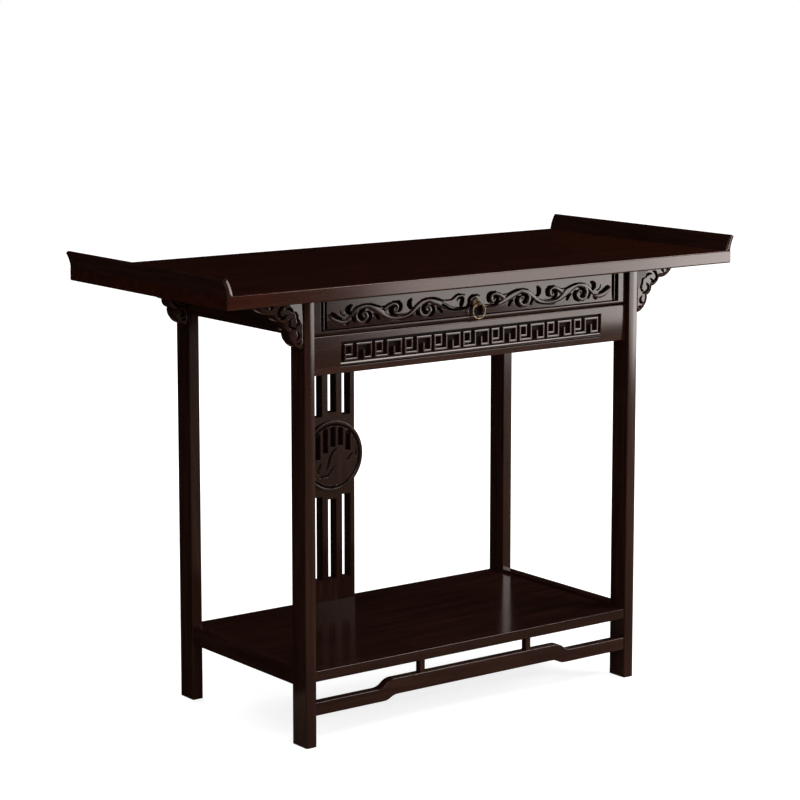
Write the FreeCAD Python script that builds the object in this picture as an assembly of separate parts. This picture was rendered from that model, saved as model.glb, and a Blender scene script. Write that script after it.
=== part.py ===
import FreeCAD, Part
import os
from math import sqrt
from FreeCAD import Vector

# An altar table with everted ends, one drawer under the top and an open shelf near the floor.
# Millimetres. X runs along the front, Y towards the back, Z up.
# The origin lies on the floor, under the middle of the top.

# Driving sizes of the top
top_length = 1200.0
top_depth = 546.0
top_thickness = 25.0
top_height = 858.0
top_edge_round = 2.5

# Driving sizes of the everted ends
end_foot_width = 11.5
end_inner_lip = (-0.5, 29.5)
end_crown = (4.0, 31.0)
end_outer_lip = (9.0, 26.5)
end_inner_hollow = (-8.0, 14.0)
end_outer_hollow = (2.5, 12.5)
end_seat = 2.0
end_tongue_thickness = 5.0

# Driving sizes of the legs
leg_width = 23.0
leg_depth = 46.0
leg_span_x = 802.0
leg_span_y = 436.0
leg_edge_round = 2.0
leg_crown = 1.2

# Driving sizes of the aprons
front_setback = 10.0
apron_thickness = 20.0
apron_drop = 145.0
front_apron_height = 72.0
side_apron_height = 72.0
back_apron_height = 72.0
side_apron_thickness = 18.0
back_apron_thickness = 18.0
rail_edge_round = 1.5

# Driving sizes of the sunk fret band
fret_band_half_length = 313.5
fret_band_foot = 12.0
fret_band_height = 46.0
fret_depth = 4.0
fret_stroke = 3.8
fret_height = 30.0
fret_pitch = 68.75
fret_units = 9
fret_small_spiral = 17.0
fret_step = 29.4
fret_large_hook = 44.6
fret_large_spiral = 60.6
fret_small_hook_rise = 9.6
fret_large_hook_rise = 15.0
bead_height = 4.5
bead_foot = 3.0

# Driving sizes of the shelf and what carries it
shelf_top = 142.0
shelf_thickness = 20.0
shelf_depth = 430.0
shelf_tongue = 8.0
shelf_rail_thickness = 21.0
shelf_rail_bottom = 112.0
shelf_rail_height = 36.0
shelf_rail_setback = 1.0

# Driving sizes of the humped stretcher and its struts
stretcher_depth = 19.0
stretcher_end_bottom = 58.0
stretcher_end_height = 25.0
hump_bottom = 67.0
hump_height = 31.0
hump_top_bend = (198.0, 238.0)
hump_bottom_bend = (190.0, 222.0)
strut_width = 12.0
strut_depth = 14.0
strut_spread = 260.0
strut_tenon = 6.0

# Driving sizes of the spandrel brackets
bracket_reach = 98.0
bracket_drop = 91.0
bracket_thickness = 32.0
bracket_setback = 3.0
bracket_top_dowel_reach = 39.0

# The bracket's scroll edge: round lobes as start, middle and end, out from the leg and down from the top
bracket_lobes = [
    ((0, bracket_drop), (13, 87.5), (23, 78)),
    ((23, 78), (28.5, 68), (29, 58)),
    ((29, 58), (37, 53), (41, 41)),
    ((41, 41), (53, 36), (61, 25)),
    ((61, 25), (83, 20), (bracket_reach, 0)),
]

# Driving sizes of the pierced splat
splat_middle_x = -51.0
splat_width = 112.0
splat_thickness = 22.0
splat_slot_width = 20.6
splat_slot_pitch = 34.6
splat_slot_margin = 45.0
splat_slot_clearance = 16.0
splat_seat = 2.0
medallion_diameter = 146.0
medallion_height = 442.0
medallion_proud = 4.0
medallion_slot_width = 12.5
medallion_slot_pitch = 18.6
medallion_slots = 5
medallion_field_radius = 60.0
medallion_groove = (61.5, 64.5)
medallion_groove_depth = 2.0
hill_crest = 25.0
hill_peak_offset = 10.0
hill_flank_drop = 0.62

# Driving sizes of the drawer
drawer_front_thickness = 18.0
drawer_front_overlap = 10.5
drawer_side_gap = 1.5
drawer_gap = 2.0
drawer_box_width = 732.4
drawer_box_back = 150.0
drawer_side_thickness = 12.0
drawer_side_height = 42.5
drawer_back_thickness = 12.0
drawer_bottom_thickness = 5.0
drawer_bottom_lift = 6.5
drawer_groove = 4.0
drawer_front_groove = 8.0
field_half_length = 341.0
field_foot = 8.0
field_head = 11.0
field_depth = 2.5

# Driving sizes of the runners, kickers and stops
runner_clearance = 0.5
runner_leg_gap = 0.5
runner_tenon_margin = 3.0
runner_thickness = 11.0
runner_heel_length = 22.0
runner_heel_drop = 17.0
runner_width = 27.5
runner_guide_height = 22.0
guide_clearance = 0.8
kicker_thickness = 16.0
kicker_end_gap = 1.0
stop_size = 12.0
stop_inset = 2.0
stop_clearance = 1.0

# Driving sizes of the ring pull
ring_radius = 14.5
ring_wire_radius = 1.6
eye_radius = 4.5
eye_hole_radius = 2.3
eye_height = 792.5
eye_standoff = 8.0
post_radius = 2.5
post_end = 8.0
rosette_radius = 11.0
rosette_thickness = 2.0
rosette_dome_radius = 6.5
rosette_dome_height = 1.5
rosette_dome_tip = 4.0
nut_across = 8.0
nut_thickness = 4.0
nut_round = 1.0

# Driving sizes of the joints and fasteners
joint_slack = 0.1
cut_margin = 1.0
tenon_length = 14.0
tenon_margin = 7.0
thin_tenon = 6.0
thick_tenon = 8.0
dowel_radius = 4.0
dowel_slack = 0.1
dowel_in_leg = 7.0
dowel_in_top = 12.0
dowel_in_bracket = 14.0
splat_dowel_radius = 3.0
splat_dowel_half = 12.0
screw_radius = 2.0
screw_length = 28.0
screw_head_radius = 4.0
screw_head_height = 3.0
screw_spacing = 130.0

# Places that follow from the driving sizes
under_top = top_height - top_thickness
leg_outer_x = leg_span_x / 2
leg_inner_x = leg_outer_x - leg_width
leg_outer_y = leg_span_y / 2
leg_inner_y = leg_outer_y - leg_depth
front_face = front_setback - leg_outer_y
apron_bottom = under_top - apron_drop
front_apron_top = apron_bottom + front_apron_height
back_apron_bottom = under_top - back_apron_height
shelf_bottom = shelf_top - shelf_thickness
shelf_back = shelf_depth / 2
splat_range_y = (shelf_back - splat_thickness, shelf_back)
back_apron_range_y = (shelf_back - back_apron_thickness, shelf_back)

along_x = Vector(1, 0, 0)
along_y = Vector(0, 1, 0)
along_z = Vector(0, 0, 1)
sides = {"left": -1, "right": 1}
pieces = {}


def block(x_range, y_range, z_range):
    """Box between a low and a high value on each axis."""
    ranges = (x_range, y_range, z_range)
    size = [high - low for low, high in ranges]
    corner = Vector(x_range[0], y_range[0], z_range[0])
    return Part.makeBox(*size, corner)


def about(middle, width):
    """Low and high value of a width about its middle."""
    return (middle - width / 2, middle + width / 2)


def on_side(value_range, sign):
    """The stretch itself for a plus sign, or its mirror image about zero for a minus sign."""
    low, high = value_range
    return (low, high) if sign > 0 else (-high, -low)


def widened(ranges, slack=joint_slack):
    """A socket's three ranges, made from those of the tenon that it takes."""
    return [(low - slack, high + slack) for low, high in ranges]


def eased(shape, radius, direction):
    """Round the straight edges that run along one direction."""
    def runs_along(edge):
        run = edge.Vertexes[-1].Point - edge.Vertexes[0].Point
        return abs(run.dot(direction)) > 0.999 * run.Length > 0
    return shape.makeFillet(radius, [edge for edge in shape.Edges if runs_along(edge)])


def eased_outline(shape, radius):
    """Round the long edges of an upright board's front and back faces, but not those at its ends."""
    def is_long_edge(edge):
        box = edge.BoundBox
        return box.YLength < radius < box.XLength
    return shape.makeFillet(radius, [edge for edge in shape.Edges if is_long_edge(edge)])


def with_tenons(shape, tenons):
    """A piece joined with its own tenons."""
    return shape.fuse([block(*tenon) for tenon in tenons]).removeSplitter()


def with_sockets(shape, tenons):
    """A piece cut to take the tenons of its neighbours."""
    return shape.cut([block(*widened(tenon)) for tenon in tenons])


def rod(start, direction, length, radius):
    """Round rod from a start point along a direction."""
    return Part.makeCylinder(radius, length, start, direction)


def upright_face(edges, y):
    """Flat face in the plane of the front at a given depth, from edges drawn at zero depth."""
    face = Part.Face(Part.Wire(edges))
    face.translate(Vector(0, y, 0))
    return face


def line(start, end):
    """Straight edge between two (x, z) points."""
    return Part.makeLine(Vector(start[0], 0, start[1]), Vector(end[0], 0, end[1]))


def arc(start, middle, end):
    """Round edge through three (x, z) points."""
    points = [Vector(x, 0, z) for x, z in (start, middle, end)]
    return Part.Arc(*points).toShape()


def level_bend(start, end):
    """Two equal arcs that leave one level and arrive at another, flat at both ends."""
    half_run = (end[0] - start[0]) / 2
    half_rise = (end[1] - start[1]) / 2
    radius = (half_run ** 2 + half_rise ** 2) / (2 * abs(half_rise))
    sag = radius - sqrt(radius ** 2 - (half_run / 2) ** 2)
    toward = 1 if half_rise > 0 else -1
    centre = (start[0] + half_run, start[1] + half_rise)
    first = (start[0] + half_run / 2, start[1] + toward * sag)
    second = (end[0] - half_run / 2, end[1] - toward * sag)
    return [arc(start, first, centre), arc(centre, second, end)]


def mirrored(shape):
    """Mirror image about the middle of the table."""
    return shape.mirror(Vector(0, 0, 0), along_x)


# Front apron: a rail between the front legs with a sunk band of key fret and a bead under it
apron_range_y = (front_face, front_face + apron_thickness)
apron_middle_y = front_face + apron_thickness / 2
front_apron_tenons = []
for sign in sides.values():
    front_apron_tenons.append([
        on_side((leg_inner_x, leg_inner_x + tenon_length), sign),
        about(apron_middle_y, thick_tenon),
        (apron_bottom + tenon_margin, front_apron_top - tenon_margin),
    ])


def fret_unit(left, foot):
    """One pair of hooks as a single stroke: a small spiral, a step up and a larger spiral."""
    near = fret_stroke / 2
    far = fret_height - near
    route = [
        (near + fret_stroke, fret_small_hook_rise),
        (fret_small_spiral, fret_small_hook_rise),
        (fret_small_spiral, far),
        (near, far),
        (near, near),
        (fret_step, near),
        (fret_step, far),
        (fret_large_spiral, far),
        (fret_large_spiral, near),
        (fret_large_hook, near),
        (fret_large_hook, fret_large_hook_rise),
    ]
    bars = []
    for (x0, z0), (x1, z1) in zip(route, route[1:]):
        x_range = (left + min(x0, x1) - near, left + max(x0, x1) + near)
        z_range = (foot + min(z0, z1) - near, foot + max(z0, z1) + near)
        bars.append(block(x_range, (front_face, front_face + fret_depth), z_range))
    return bars


band_bottom = apron_bottom + fret_band_foot
bead_range_z = (band_bottom + bead_foot, band_bottom + bead_foot + bead_height)
band_range_x = about(0, 2 * fret_band_half_length)
fret_bottom = bead_range_z[1] + bead_foot
fret_length = (fret_units - 1) * fret_pitch + fret_large_spiral + fret_stroke / 2
fret_start = -fret_length / 2
fret_bars = [block(band_range_x, (front_face, front_face + fret_depth), bead_range_z)]
for unit in range(fret_units):
    fret_bars.extend(fret_unit(fret_start + unit * fret_pitch, fret_bottom))
front_apron = block((-leg_inner_x, leg_inner_x), apron_range_y, (apron_bottom, front_apron_top))
front_apron = eased(front_apron, rail_edge_round, along_x)
front_apron = front_apron.cut(block(
    band_range_x,
    (front_face, front_face + fret_depth),
    (band_bottom, band_bottom + fret_band_height),
))
front_apron = front_apron.fuse(fret_bars).removeSplitter()
front_apron = with_tenons(front_apron, front_apron_tenons)

# Back apron: a board between the back legs that also carries the splat's upper end
back_apron_tenons = []
for sign in sides.values():
    back_apron_tenons.append([
        on_side((leg_inner_x, leg_inner_x + tenon_length), sign),
        about(sum(back_apron_range_y) / 2, thick_tenon),
        (back_apron_bottom + 2 * tenon_margin, under_top - 2 * tenon_margin),
    ])
back_apron = block((-leg_inner_x, leg_inner_x), back_apron_range_y, (back_apron_bottom, under_top))
back_apron = eased(back_apron, rail_edge_round, along_x)
back_apron = with_tenons(back_apron, back_apron_tenons)

# Side aprons and shelf rails: rails from a front leg to the back leg behind it
side_apron_middle = (leg_inner_x + leg_outer_x) / 2
side_apron_bottom = under_top - side_apron_height
shelf_rail_inner = leg_inner_x + shelf_rail_setback
shelf_rail_middle = shelf_rail_inner + shelf_rail_thickness / 2
shelf_rail_top = shelf_rail_bottom + shelf_rail_height


def side_rail(sign, middle_x, thickness, z_range):
    """Rail along one end of the table, with a tenon into each of its two legs, and those tenons."""
    x_range = on_side(about(middle_x, thickness), sign)
    rail = eased(block(x_range, (-leg_inner_y, leg_inner_y), z_range), rail_edge_round, along_y)
    tenon_x = on_side(about(middle_x, thin_tenon), sign)
    tenon_z = (z_range[0] + tenon_margin, z_range[1] - tenon_margin)
    tenons = []
    for end in sides.values():
        tenons.append([tenon_x, on_side((leg_inner_y, leg_inner_y + tenon_length), end), tenon_z])
    return with_tenons(rail, tenons), tenons


# Shelf: one board between the shelf rails, with a tongue along each end
shelf_tongues = []
for sign in sides.values():
    shelf_tongues.append([
        on_side((leg_inner_x - shelf_tongue, shelf_rail_inner + shelf_tongue), sign),
        (-leg_inner_y + tenon_margin, leg_inner_y - tenon_margin),
        about((shelf_top + shelf_bottom) / 2, thick_tenon),
    ])
shelf_half_length = leg_inner_x - 2 * joint_slack
shelf_range_y = (-shelf_back, shelf_back)
shelf = block((-shelf_half_length, shelf_half_length), shelf_range_y, (shelf_bottom, shelf_top))
shelf = with_tenons(eased(shelf, rail_edge_round, along_x), shelf_tongues)

rail_tenons = []
for side, sign in sides.items():
    apron, tenons = side_rail(
        sign, side_apron_middle, side_apron_thickness, (side_apron_bottom, under_top))
    pieces[side + "_side_apron"] = apron
    rail_tenons.extend(tenons)
    rail, tenons = side_rail(
        sign, shelf_rail_middle, shelf_rail_thickness, (shelf_rail_bottom, shelf_rail_top))
    pieces[side + "_shelf_rail"] = with_sockets(rail, shelf_tongues)
    rail_tenons.extend(tenons)

# Humped stretcher: low at the legs, raised in the middle, under the front of the shelf
stretcher_range_y = (-shelf_back, -shelf_back + stretcher_depth)
stretcher_end_top = stretcher_end_bottom + stretcher_end_height
hump_top = hump_bottom + hump_height
top_bend = level_bend((-hump_top_bend[1], stretcher_end_top), (-hump_top_bend[0], hump_top))
bottom_bend = level_bend(
    (-hump_bottom_bend[1], stretcher_end_bottom), (-hump_bottom_bend[0], hump_bottom))
left_edges = [
    line((0, hump_bottom), (-hump_bottom_bend[0], hump_bottom)),
    *bottom_bend,
    line((-hump_bottom_bend[1], stretcher_end_bottom), (-leg_inner_x, stretcher_end_bottom)),
    line((-leg_inner_x, stretcher_end_bottom), (-leg_inner_x, stretcher_end_top)),
    line((-leg_inner_x, stretcher_end_top), (-hump_top_bend[1], stretcher_end_top)),
    *top_bend,
    line((-hump_top_bend[0], hump_top), (0, hump_top)),
]
right_edges = [mirrored(edge) for edge in left_edges]
outline = Part.__sortEdges__(left_edges + right_edges)
stretcher = upright_face(outline, stretcher_range_y[0]).extrude(Vector(0, stretcher_depth, 0))
stretcher_tenons = []
for sign in sides.values():
    stretcher_tenons.append([
        on_side((leg_inner_x, leg_inner_x + tenon_length), sign),
        about(sum(stretcher_range_y) / 2, thick_tenon),
        about(stretcher_end_bottom + stretcher_end_height / 2, stretcher_end_height - tenon_margin),
    ])
stretcher = with_tenons(eased_outline(stretcher, rail_edge_round), stretcher_tenons)

# Struts: two short posts between the stretcher's hump and the shelf
strut_tenons = []
for side, sign in sides.items():
    strut_x = sign * strut_spread / 2
    strut_y = sum(stretcher_range_y) / 2
    strut = block(about(strut_x, strut_width), about(strut_y, strut_depth), (hump_top, shelf_bottom))
    tenon = [
        about(strut_x, thin_tenon),
        about(strut_y, thin_tenon),
        (hump_top - strut_tenon, shelf_bottom + strut_tenon),
    ]
    pieces[side + "_strut"] = with_tenons(eased(strut, rail_edge_round, along_z), [tenon])
    strut_tenons.append(tenon)
pieces["hump_stretcher"] = with_sockets(stretcher, strut_tenons)

# Pierced splat: an upper and a lower slotted board, and a round medallion doweled between them
medallion_radius = medallion_diameter / 2
splat_range_x = about(splat_middle_x, splat_width)
medallion_front = splat_range_y[0] - medallion_proud
splat_cut_range_y = (medallion_front - cut_margin, splat_range_y[1] + cut_margin)


def disc(radius, y_range):
    """Round plate about the medallion's middle, between two depths."""
    front, back = y_range
    return rod(Vector(splat_middle_x, front, medallion_height), along_y, back - front, radius)


def splat_slot(offset, z_range):
    """Cutter for one upright slot through the splat."""
    middle = splat_middle_x + offset
    return block(about(middle, splat_slot_width), splat_cut_range_y, z_range)


def splat_board(z_range, tenon, direction):
    """Slotted board whose inner end is hollowed to fit the medallion's rim."""
    board = block(splat_range_x, splat_range_y, z_range)
    board = with_tenons(eased(board, rail_edge_round, along_z), [tenon])
    cutters = [disc(medallion_radius + joint_slack, splat_cut_range_y)]
    for step in (-1, 0, 1):
        offset = step * splat_slot_pitch
        clear = medallion_radius + splat_slot_clearance
        inner_end = medallion_height + direction * sqrt(clear ** 2 - offset ** 2)
        outer_end = (back_apron_bottom if direction > 0 else shelf_top) - direction * splat_slot_margin
        cutters.append(splat_slot(offset, (min(inner_end, outer_end), max(inner_end, outer_end))))
    return board.cut(cutters)


splat_tenon_x = about(splat_middle_x, splat_width / 2)
splat_tenon_y = about(sum(splat_range_y) / 2, thin_tenon)
lower_splat_tenon = [splat_tenon_x, splat_tenon_y, (shelf_top - shelf_thickness / 2, shelf_top)]
upper_splat_tenon = [splat_tenon_x, splat_tenon_y, (back_apron_bottom, back_apron_bottom + tenon_length)]
splat_upper = splat_board((medallion_height, back_apron_bottom), upper_splat_tenon, 1)
splat_lower = splat_board((shelf_top - splat_seat, medallion_height), lower_splat_tenon, -1)
splat_housing = block(splat_range_x, splat_range_y, (shelf_top - splat_seat, shelf_top))

# Medallion: slots follow the rim above and a hill's outline below, inside a ring groove
medallion = disc(medallion_radius, (medallion_front, splat_range_y[1]))
groove_inner, groove_outer = medallion_groove
groove_range_y = (medallion_front, medallion_front + medallion_groove_depth)
ring_cutter = disc(groove_outer, groove_range_y).cut(disc(groove_inner, groove_range_y))
medallion_cutters = [ring_cutter]
for slot in range(medallion_slots):
    offset = (slot - (medallion_slots - 1) / 2) * medallion_slot_pitch
    upper_end = sqrt(medallion_field_radius ** 2 - (abs(offset) + medallion_slot_width / 2) ** 2)
    lower_end = hill_crest - hill_flank_drop * abs(offset - hill_peak_offset)
    medallion_cutters.append(block(
        about(splat_middle_x + offset, medallion_slot_width),
        splat_cut_range_y,
        (medallion_height + lower_end, medallion_height + upper_end),
    ))
medallion = medallion.cut(medallion_cutters)

splat_dowels = []
splat_dowel_holes = []
dowel_y = sum(splat_range_y) / 2
for direction in sides.values():
    for step in (-0.5, 0.5):
        offset = step * splat_slot_pitch
        rim = medallion_height + direction * sqrt(medallion_radius ** 2 - offset ** 2)
        start = Vector(splat_middle_x + offset, dowel_y, rim - splat_dowel_half)
        splat_dowels.append(rod(start, along_z, 2 * splat_dowel_half, splat_dowel_radius))
        start = start - along_z * dowel_slack
        length = 2 * (splat_dowel_half + dowel_slack)
        splat_dowel_holes.append(rod(start, along_z, length, splat_dowel_radius + dowel_slack))
pieces["splat_upper"] = splat_upper.cut(splat_dowel_holes)
pieces["splat_lower"] = splat_lower.cut(splat_dowel_holes)
pieces["splat_medallion"] = medallion.cut(splat_dowel_holes)
pieces["splat_dowels"] = Part.makeCompound(splat_dowels)
shelf = with_sockets(shelf, strut_tenons + [lower_splat_tenon])
pieces["shelf_board"] = shelf.cut(splat_housing)

# Brackets: scroll-edged boards in the corners outside the legs, one dowel into the leg, one into the top
leg_dowel_drop = bracket_drop / 2


def bracket_blank(front_y):
    """Bracket at the right end, with its face at the given depth."""
    def place(point):
        return (leg_outer_x + point[0], under_top - point[1])
    edges = [arc(*[place(point) for point in lobe]) for lobe in bracket_lobes]
    corner = place((0, 0))
    edges.append(line(place((bracket_reach, 0)), corner))
    edges.append(line(corner, place((0, bracket_drop))))
    return upright_face(edges, front_y).extrude(Vector(0, bracket_thickness, 0))


def bracket_dowel_rods(sign, middle_y, slack):
    """The bracket's two dowels, or their holes where slack is given."""
    out = Vector(sign, 0, 0)
    leg_start = Vector(sign * (leg_outer_x - dowel_in_leg - slack), middle_y, under_top - leg_dowel_drop)
    leg_length = dowel_in_leg + dowel_in_bracket + 2 * slack
    top_x = sign * (leg_outer_x + bracket_top_dowel_reach)
    top_start = Vector(top_x, middle_y, under_top - dowel_in_bracket - slack)
    top_length_in = dowel_in_top + dowel_in_bracket + 2 * slack
    radius = dowel_radius + slack
    return [rod(leg_start, out, leg_length, radius), rod(top_start, along_z, top_length_in, radius)]


bracket_dowels = []
bracket_holes = []
bracket_fronts = {"front": -leg_outer_y + bracket_setback, "back": leg_inner_y + bracket_setback}
for end, front_y in bracket_fronts.items():
    for side, sign in sides.items():
        middle_y = front_y + bracket_thickness / 2
        bracket_dowels.extend(bracket_dowel_rods(sign, middle_y, 0))
        holes = bracket_dowel_rods(sign, middle_y, dowel_slack)
        bracket_holes.extend(holes)
        bracket = bracket_blank(front_y)
        bracket = bracket if sign > 0 else mirrored(bracket)
        pieces["bracket_" + end + "_" + side] = bracket.cut(holes)
pieces["bracket_dowels"] = Part.makeCompound(bracket_dowels)

# Runners: L-shaped rails between the aprons that carry and guide the drawer's sides.
# Each has a heel at its front end, which reaches down behind the front apron for its tenon.
drawer_bottom_edge = front_apron_top + drawer_gap
drawer_side_bottom = drawer_bottom_edge + drawer_front_overlap
runner_top = drawer_side_bottom - runner_clearance
runner_bottom = runner_top - runner_thickness
heel_bottom = runner_bottom - runner_heel_drop
runner_outer = leg_inner_x - runner_leg_gap
runner_inner = runner_outer - runner_width
drawer_box_half = drawer_box_width / 2
guide_inner = drawer_box_half + guide_clearance
runner_range_y = (apron_range_y[1], back_apron_range_y[0])
runner_tenons = []
for side, sign in sides.items():
    base_range_x = on_side((runner_inner, runner_outer), sign)
    base = block(base_range_x, runner_range_y, (runner_bottom, runner_top))
    heel_range_y = (runner_range_y[0], runner_range_y[0] + runner_heel_length)
    heel = block(base_range_x, heel_range_y, (heel_bottom, runner_bottom))
    guide_range_z = (runner_top, runner_top + runner_guide_height)
    guide = block(on_side((guide_inner, runner_outer), sign), runner_range_y, guide_range_z)
    tenon_x = on_side((runner_inner + tenon_margin, runner_outer - tenon_margin), sign)
    heel_tenon_z = (heel_bottom + runner_tenon_margin, front_apron_top - runner_tenon_margin)
    back_tenon_z = (runner_bottom + runner_tenon_margin, runner_top - runner_tenon_margin)
    tenons = [
        [tenon_x, (runner_range_y[0] - thin_tenon, runner_range_y[0]), heel_tenon_z],
        [tenon_x, (runner_range_y[1], runner_range_y[1] + thin_tenon), back_tenon_z],
    ]
    pieces[side + "_runner"] = with_tenons(base.fuse([guide, heel]), tenons)
    runner_tenons.extend(tenons)
pieces["front_apron"] = with_sockets(front_apron, runner_tenons)
pieces["back_apron"] = with_sockets(back_apron, runner_tenons + [upper_splat_tenon])

# Kickers: cleats under the top that keep the open drawer level, screwed up into the top
kicker_outer = side_apron_middle - side_apron_thickness / 2 - joint_slack
kicker_range_z = (under_top - kicker_thickness, under_top)
kicker_middle = (runner_inner + kicker_outer) / 2
screws = []
screw_holes = []
for side, sign in sides.items():
    kicker_range_y = about(0, 2 * (leg_inner_y - kicker_end_gap))
    kicker = block(on_side((runner_inner, kicker_outer), sign), kicker_range_y, kicker_range_z)
    for step in (-1, 0, 1):
        foot = Vector(sign * kicker_middle, step * screw_spacing, kicker_range_z[0])
        head = rod(foot, along_z, screw_head_height, screw_head_radius)
        screws.append(head.fuse(rod(foot, along_z, screw_length, screw_radius)).removeSplitter())
        head_hole = rod(foot, along_z, screw_head_height, screw_head_radius + dowel_slack)
        shank_hole = rod(foot, along_z, screw_length + dowel_slack, screw_radius + dowel_slack)
        screw_holes.extend([head_hole, shank_hole])
    pieces[side + "_kicker"] = kicker.cut(screw_holes)
pieces["top_screws"] = Part.makeCompound(screws)

# Stops: small blocks on the runners that meet the closed drawer
stop_range_y = (drawer_box_back + stop_clearance, drawer_box_back + stop_clearance + stop_size)
stop_range_x = (runner_inner + stop_inset, runner_inner + stop_inset + stop_size)
stop_range_z = (runner_top, runner_top + stop_size)
pieces["drawer_stops"] = Part.makeCompound(
    [block(on_side(stop_range_x, sign), stop_range_y, stop_range_z) for sign in sides.values()])

# Legs: posts with a stub tenon into the top and a slightly crowned outer face
def leg_blank(x_range, y_sign):
    """Post from the floor to the underside of the top, at the front or the back."""
    left, right = x_range
    inner = y_sign * leg_inner_y
    edge = y_sign * (leg_outer_y - leg_crown)
    corners = [(left, edge), (left, inner), (right, inner), (right, edge)]
    corners = [Vector(x, y, 0) for x, y in corners]
    edges = [Part.makeLine(start, end) for start, end in zip(corners, corners[1:])]
    crown = Vector((left + right) / 2, y_sign * leg_outer_y, 0)
    edges.append(Part.Arc(corners[-1], crown, corners[0]).toShape())
    return Part.Face(Part.Wire(edges)).extrude(along_z * under_top)


leg_sockets = front_apron_tenons + back_apron_tenons + rail_tenons + stretcher_tenons
leg_stubs = []
for end, y_sign in (("front", -1), ("back", 1)):
    for side, x_sign in sides.items():
        leg_range_x = on_side((leg_inner_x, leg_outer_x), x_sign)
        leg_range_y = on_side((leg_inner_y, leg_outer_y), y_sign)
        leg = eased(leg_blank(leg_range_x, y_sign), leg_edge_round, along_z)
        stub = [
            about(sum(leg_range_x) / 2, leg_width - 2 * thin_tenon),
            about(sum(leg_range_y) / 2, leg_depth - 2 * thick_tenon),
            (under_top, under_top + tenon_length),
        ]
        leg = with_sockets(with_tenons(leg, [stub]), leg_sockets)
        pieces["leg_" + end + "_" + side] = leg.cut(bracket_holes)
        leg_stubs.append(stub)

# Everted ends: curved strips along the two ends of the top, each in a shallow step and on a tongue
half_length = top_length / 2


def end_point(point):
    """Point of the right end's section, from its distance out from and up over the top's corner."""
    return (half_length + point[0], top_height + point[1])


inner_foot = end_point((-end_foot_width, 0))
inner_lip = end_point(end_inner_lip)
outer_lip = end_point(end_outer_lip)
outer_foot = end_point((0, 0))
inner_seat = end_point((-end_foot_width, -end_seat))
outer_seat = end_point((0, -end_seat))
end_edges = [
    arc(inner_foot, end_point(end_inner_hollow), inner_lip),
    arc(inner_lip, end_point(end_crown), outer_lip),
    arc(outer_lip, end_point(end_outer_hollow), outer_foot),
    line(outer_foot, outer_seat),
    line(outer_seat, inner_seat),
    line(inner_seat, inner_foot),
]
end_strip = upright_face(end_edges, -top_depth / 2).extrude(Vector(0, top_depth, 0))
end_tongue = [
    about(half_length - end_foot_width / 2, end_tongue_thickness),
    (-leg_outer_y, leg_outer_y),
    (top_height - thick_tenon, top_height),
]
right_end = with_tenons(end_strip, [end_tongue])
pieces["right_everted_end"] = right_end
pieces["left_everted_end"] = mirrored(right_end)
left_tongue = [on_side(end_tongue[0], -1), end_tongue[1], end_tongue[2]]

# Top: one board over the legs, with a step at each end and sockets for stubs, dowels and screws
top_range_y = (-top_depth / 2, top_depth / 2)
top_board = block((-half_length, half_length), top_range_y, (under_top, top_height))
top_board = eased(top_board, top_edge_round, along_x)
top_board = with_sockets(top_board, leg_stubs + [end_tongue, left_tongue])
for sign in sides.values():
    end_step_x = on_side((half_length - end_foot_width, half_length), sign)
    top_board = top_board.cut(block(end_step_x, top_range_y, (top_height - end_seat, top_height)))
pieces["top_board"] = top_board.cut(bracket_holes + screw_holes)

# Drawer front: a board between the front legs with a sunk field for carving
front_half = leg_inner_x - drawer_side_gap
front_back_y = front_face + drawer_front_thickness
front_range_z = (drawer_bottom_edge, under_top - drawer_gap)
drawer_front = block((-front_half, front_half), (front_face, front_back_y), front_range_z)
drawer_front = eased(drawer_front, rail_edge_round, along_x)
field_range_z = (front_range_z[0] + field_foot, front_range_z[1] - field_head)
field_face = front_face + field_depth
field = block((-field_half_length, field_half_length), (front_face, field_face), field_range_z)

# Drawer box: sides housed in the front, a back between the sides and a bottom in grooves
side_range_z = (drawer_side_bottom, drawer_side_bottom + drawer_side_height)
side_inner = drawer_box_half - drawer_side_thickness
bottom_range_z = about(
    drawer_side_bottom + drawer_bottom_lift + drawer_bottom_thickness / 2, drawer_bottom_thickness)
bottom_half = side_inner + drawer_groove - joint_slack
bottom_ranges = [
    (-bottom_half, bottom_half),
    (front_back_y - drawer_groove + joint_slack, drawer_box_back - joint_slack),
    bottom_range_z,
]
back_ranges = [
    (-bottom_half, bottom_half),
    (drawer_box_back - 2 * drawer_back_thickness, drawer_box_back - drawer_back_thickness),
    (bottom_range_z[1] + joint_slack, side_range_z[1]),
]
side_ranges = {}
for side, sign in sides.items():
    side_ranges[side] = [
        on_side((side_inner, drawer_box_half), sign),
        (front_back_y - drawer_front_groove + joint_slack, drawer_box_back),
        side_range_z,
    ]
    drawer_side = with_sockets(block(*side_ranges[side]), [bottom_ranges, back_ranges])
    pieces["drawer_" + side + "_side"] = drawer_side
pieces["drawer_bottom"] = block(*bottom_ranges)
pieces["drawer_back"] = block(*back_ranges)

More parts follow.
